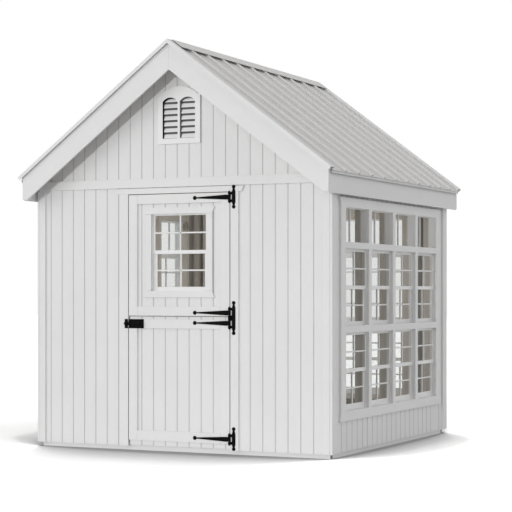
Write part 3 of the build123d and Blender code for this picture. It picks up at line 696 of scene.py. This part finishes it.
# Roof sheet: two low ribs between each pair of main ribs, and the screws beside the main ribs
SHEET = 0.05 * INCH
RIB_COUNT = 10
RIB_PITCH = 10.03 * INCH
RIB_SHIFT = -0.7 * INCH
RIB_MIDDLES = [(number - (RIB_COUNT - 1) / 2) * RIB_PITCH + RIB_SHIFT for number in range(RIB_COUNT)]
LOW_RIB_HALF = 0.5 * INCH
LOW_RIB_CROWN = 0.22 * INCH
LOW_RIB_HIGH = 0.13 * INCH
LOW_RIB_START = 0.4 * INCH
LOW_RIB_STOP = METAL_TIP - 0.05 * INCH
SCREW_RUNS = [4.5 * INCH, 20.0 * INCH, 35.0 * INCH, 49.0 * INCH]
SCREW_RADIUS = 0.2 * INCH
SCREW_HIGH = 0.16 * INCH
SCREW_SIDES = 6
SCREW_ASIDE = 1.1 * INCH
WASHER_HIGH = 0.03 * INCH
SCREW_PROFILE = [
    (SHEET, SCREW_RADIUS * 1.5),
    (SHEET + WASHER_HIGH, SCREW_RADIUS * 1.5),
    (SHEET + WASHER_HIGH, SCREW_RADIUS),
    (SHEET + SCREW_HIGH, SCREW_RADIUS * 0.9),
]


def slope_point(side, along, run, lift):
    """A point above the roof's deck plane: along the ridge, out from it, and square to the slope."""
    return (side * (run + lift * SLOPE_SIN), along, DECK_OVER - PITCH * run + lift * SLOPE_COS)


def build_low_ribs(mesh):
    section = [
        (-LOW_RIB_HALF, SHEET),
        (-LOW_RIB_CROWN, SHEET + LOW_RIB_HIGH),
        (LOW_RIB_CROWN, SHEET + LOW_RIB_HIGH),
        (LOW_RIB_HALF, SHEET),
    ]
    for side in (-1, 1):
        for rib in RIB_MIDDLES[:-1]:
            for part in (1, 2):
                middle = rib + part * RIB_PITCH / 3
                rings = []
                for run in (LOW_RIB_START, LOW_RIB_STOP):
                    rings.append(
                        [mesh.verts.new(slope_point(side, middle + offset, run, lift)) for offset, lift in section]
                    )
                join_rings(mesh, rings)


def build_screws(mesh):
    for side in (-1, 1):
        for rib in RIB_MIDDLES:
            for run in SCREW_RUNS:
                rings = []
                for lift, radius in SCREW_PROFILE:
                    ring = []
                    for number in range(SCREW_SIDES):
                        turn = 2 * math.pi * number / SCREW_SIDES
                        along = rib + SCREW_ASIDE + radius * math.cos(turn)
                        out = run + radius * math.sin(turn) * SLOPE_COS
                        ring.append(mesh.verts.new(slope_point(side, along, out, lift)))
                    rings.append(ring)
                join_rings(mesh, rings)


add_object("roof_low_ribs", build_low_ribs, [roof_metal], "building")
add_object("roof_screws", build_screws, [roof_metal], "building")


# Insect mesh behind the louvres of the gable vent
SCREEN_IN = 0.5 * INCH
SCREEN_OUT = 5.3 * INCH
SCREEN_LOW = 92.8 * INCH
SCREEN_HIGH = 103.7 * INCH
SCREEN_FACE = 48.56 * INCH
SCREEN_BACK = 48.51 * INCH


def build_vent_screen(mesh):
    for side in (-1, 1):
        edges = sorted((side * SCREEN_IN, side * SCREEN_OUT))
        add_box(mesh, (edges[0], -SCREEN_FACE, SCREEN_LOW), (edges[1], -SCREEN_BACK, SCREEN_HIGH))


add_object("gable_vent_screen", build_vent_screen, [screen_grey], "building")


# Painted shadow in the gap between the vent's frame and its louvres: dark strips that stand in for the shade
# there, wide at the left and thin at the top right
LIGHT_IN = 0.4 * INCH
LIGHT_OUT = 5.4 * INCH
LIGHT_LOW = 92.75 * INCH
LIGHT_SPRING = 103.6 * INCH
LIGHT_PEAK = 104.8 * INCH
GAP_SIDE = 0.5 * INCH
GAP_TOP = 0.42 * INCH
GAP_FACE = 49.035 * INCH
GAP_BACK = 49.005 * INCH
GAP_LEAST = 0.03 * INCH
ARC_SHORT = 0.06
ARC_STEPS = 12


def build_vent_painted_shadow(mesh):
    half = (LIGHT_OUT - LIGHT_IN) / 2
    rise = LIGHT_PEAK - LIGHT_SPRING
    radius = (half * half + rise * rise) / (2 * rise)
    spread = math.asin(half / radius)
    last_turn = math.atan2(GAP_TOP, GAP_SIDE) - ARC_SHORT
    for index, middle in enumerate((-(LIGHT_IN + LIGHT_OUT) / 2, (LIGHT_IN + LIGHT_OUT) / 2)):
        outline = [(middle - half, LIGHT_LOW, 1.0, 0.0), (middle - half, LIGHT_SPRING, 1.0, 0.0)]
        for step in range(ARC_STEPS + 1):
            turn = -spread + (last_turn + spread) * step / ARC_STEPS
            across = middle + radius * math.sin(turn)
            height = LIGHT_PEAK - radius + radius * math.cos(turn)
            outline.append((across, height, -math.sin(turn), -math.cos(turn)))
        rings = []
        for across, height, inward_x, inward_z in outline:
            thick = max(GAP_LEAST, inward_x * GAP_SIDE - inward_z * GAP_TOP)
            inner = (across + inward_x * thick, height + inward_z * thick)
            rings.append(
                [
                    mesh.verts.new(front_place(across, GAP_FACE, height)),
                    mesh.verts.new(front_place(inner[0], GAP_FACE, inner[1])),
                    mesh.verts.new(front_place(inner[0], GAP_BACK, inner[1])),
                    mesh.verts.new(front_place(across, GAP_BACK, height)),
                ]
            )
        join_rings(mesh, rings, index)


add_object("gable_vent_painted_shadow", build_vent_painted_shadow, [vent_painted_shadow_deep, vent_painted_shadow_soft], "building")


# Weather strip in the gap between the two leaves, fixed to the lower one
STRIP_HALF = 16.7 * INCH
STRIP_FACE = 48.3 * INCH
STRIP_BACK = 47.5 * INCH
STRIP_TOP = 40.2 * INCH


def build_weather_strip(mesh):
    add_box(mesh, (-STRIP_HALF, -STRIP_FACE, LOWER_TOP), (STRIP_HALF, -STRIP_BACK, STRIP_TOP))


add_object("lower_door_weather_strip", build_weather_strip, [weather_strip], "lower_door")


# Floor, light and camera
FLOOR_HALF = 60.0
FLOOR_GAIN = 2.25
FLOOR_BOUNCE = 0.88
SHADOW_REACH = 36 * INCH
CORNER_REACH = 49.5 * INCH
END_STRETCH = 0.72
RIGHT_STRETCH = 1.7
LEFT_STRETCH = 1.15
LEAST_DEPTH = 0.002
# Share of the reach and brightness there: the fall-off was set by comparing renders with the photo
CONTACT_SHADOW = [
    (0.10, 0.20), (0.139, 0.29), (0.222, 0.36), (0.333, 0.43), (0.444, 0.51), (0.556, 0.61),
    (0.694, 0.70), (0.833, 0.76), (1.0, 1.0),
]


def arithmetic(tree, operation, first, second):
    """A math node on two values, each an output or a number."""
    node = tree.nodes.new("ShaderNodeMath")
    node.operation = operation
    for socket, value in zip(node.inputs, (first, second)):
        if isinstance(value, (int, float)):
            socket.default_value = value
        else:
            tree.links.new(value, socket)
    return node.outputs["Value"]


def seen_rays(tree):
    """One for rays that end at the camera, straight, by a mirror or through glass."""
    ray = tree.nodes.new("ShaderNodeLightPath")
    seen = arithmetic(tree, "MAXIMUM", ray.outputs["Is Camera Ray"], ray.outputs["Is Glossy Ray"])
    return arithmetic(tree, "MAXIMUM", seen, ray.outputs["Is Transmission Ray"])


def contact_distance(tree, along, outward, stretch):
    """Distance from a wall, stretched towards its ends, where the shadow gets thin."""
    share = arithmetic(tree, "DIVIDE", along, CORNER_REACH)
    depth = arithmetic(tree, "SUBTRACT", 1.0, arithmetic(tree, "POWER", share, 3.0))
    width = arithmetic(tree, "MAXIMUM", depth, LEAST_DEPTH)
    clear = arithmetic(tree, "MULTIPLY", arithmetic(tree, "SUBTRACT", outward, FACE), stretch)
    return arithmetic(tree, "DIVIDE", clear, width)


def floor_material():
    """White floor, with the soft shadow where the building stands on it."""
    material = bpy.data.materials.new("studio_floor")
    material.use_nodes = True
    tree = material.node_tree
    tree.nodes.clear()
    output = tree.nodes.new("ShaderNodeOutputMaterial")
    diffuse = tree.nodes.new("ShaderNodeBsdfDiffuse")
    place = tree.nodes.new("ShaderNodeTexCoord")
    axes = tree.nodes.new("ShaderNodeSeparateXYZ")
    tree.links.new(place.outputs["Object"], axes.inputs["Vector"])
    across = arithmetic(tree, "ABSOLUTE", axes.outputs["X"], 0.0)
    deep = arithmetic(tree, "ABSOLUTE", axes.outputs["Y"], 0.0)
    leftward = arithmetic(tree, "MULTIPLY", axes.outputs["X"], -1.0)
    distance = contact_distance(tree, across, deep, END_STRETCH)
    for outward, stretch in ((axes.outputs["X"], RIGHT_STRETCH), (leftward, LEFT_STRETCH)):
        distance = arithmetic(tree, "MAXIMUM", distance, contact_distance(tree, deep, outward, stretch))
    share = arithmetic(tree, "DIVIDE", distance, SHADOW_REACH)
    stops = [(position, grey(value * FLOOR_GAIN)) for position, value in CONTACT_SHADOW]
    shaded = ramp(tree, share, stops)
    mix = tree.nodes.new("ShaderNodeMix")
    mix.data_type = "RGBA"
    mix.inputs["A"].default_value = (*grey(FLOOR_BOUNCE), 1.0)
    tree.links.new(shaded, mix.inputs["B"])
    tree.links.new(seen_rays(tree), mix.inputs["Factor"])
    tree.links.new(mix.outputs["Result"], diffuse.inputs["Color"])
    tree.links.new(diffuse.outputs["BSDF"], output.inputs["Surface"])
    return material


floor_mesh = bmesh.new()
floor_mesh.faces.new(
    [
        floor_mesh.verts.new((across * FLOOR_HALF, deep * FLOOR_HALF, 0))
        for across, deep in ((-1, -1), (1, -1), (1, 1), (-1, 1))
    ]
)
floor_data = bpy.data.meshes.new("studio_floor")
floor_mesh.to_mesh(floor_data)
floor_mesh.free()
floor = bpy.data.objects.new("studio_floor", floor_data)
scene.collection.objects.link(floor)
floor_data.materials.append(floor_material())

SKY_LIGHT = 0.27
SKY_SEEN = 1.0

world = bpy.data.worlds.new("studio_world")
scene.world = world
world.use_nodes = True
sky = world.node_tree
sky.nodes.clear()
sky_out = sky.nodes.new("ShaderNodeOutputWorld")
plain = sky.nodes.new("ShaderNodeBackground")
plain.inputs["Color"].default_value = (1, 1, 1, 1)
plain.inputs["Strength"].default_value = SKY_LIGHT
white = sky.nodes.new("ShaderNodeBackground")
white.inputs["Color"].default_value = (1, 1, 1, 1)
white.inputs["Strength"].default_value = SKY_SEEN
sky_mix = sky.nodes.new("ShaderNodeMixShader")
sky.links.new(seen_rays(sky), sky_mix.inputs["Fac"])
sky.links.new(plain.outputs["Background"], sky_mix.inputs[1])
sky.links.new(white.outputs["Background"], sky_mix.inputs[2])
sky.links.new(sky_mix.outputs["Shader"], sky_out.inputs["Surface"])


def add_sun(name, energy, softness, source):
    sun_data = bpy.data.lights.new(name, "SUN")
    sun_data.energy = energy
    sun_data.angle = math.radians(softness)
    sun = bpy.data.objects.new(name, sun_data)
    scene.collection.objects.link(sun)
    sun.rotation_euler = Vector(source).to_track_quat("Z", "Y").to_euler()


add_sun("key_light", energy=0.76, softness=50, source=(-0.45, -0.8, 0.33))
add_sun("front_light", energy=0.84, softness=4, source=(0.0, -1.0, 0.06))
add_sun("fill_light", energy=0.80, softness=60, source=(0.8, -0.1, 0.7))

# A soft lamp in the room, not seen itself, that brings the inside to the photo's brightness
ROOM_POWER = 26.0
ROOM_SOFTNESS = 0.35
ROOM_PLACE = (0.1, 0.1, 1.3)

room_data = bpy.data.lights.new("room_light", "POINT")
room_data.energy = ROOM_POWER
room_data.shadow_soft_size = ROOM_SOFTNESS
room = bpy.data.objects.new("room_light", room_data)
scene.collection.objects.link(room)
room.location = ROOM_PLACE
room.visible_camera = False
room.visible_glossy = False
room.visible_transmission = False

# The photo's camera, from its two-point perspective
CAMERA_PLACE = (5.784, -11.933, 1.2024)
CAMERA_TURN = 25.69
CAMERA_LENS = 113.9
CAMERA_SHIFT = 0.0701
SENSOR_WIDE = 36
VIEW_REACH = 200

camera_data = bpy.data.cameras.new("camera")
camera_data.lens = CAMERA_LENS
camera_data.sensor_width = SENSOR_WIDE
camera_data.shift_y = CAMERA_SHIFT
camera_data.clip_end = VIEW_REACH
camera = bpy.data.objects.new("camera", camera_data)
scene.collection.objects.link(camera)
camera.location = CAMERA_PLACE
camera.rotation_euler = (math.radians(90), 0, math.radians(CAMERA_TURN))
scene.camera = camera

scene.view_settings.view_transform = "Standard"
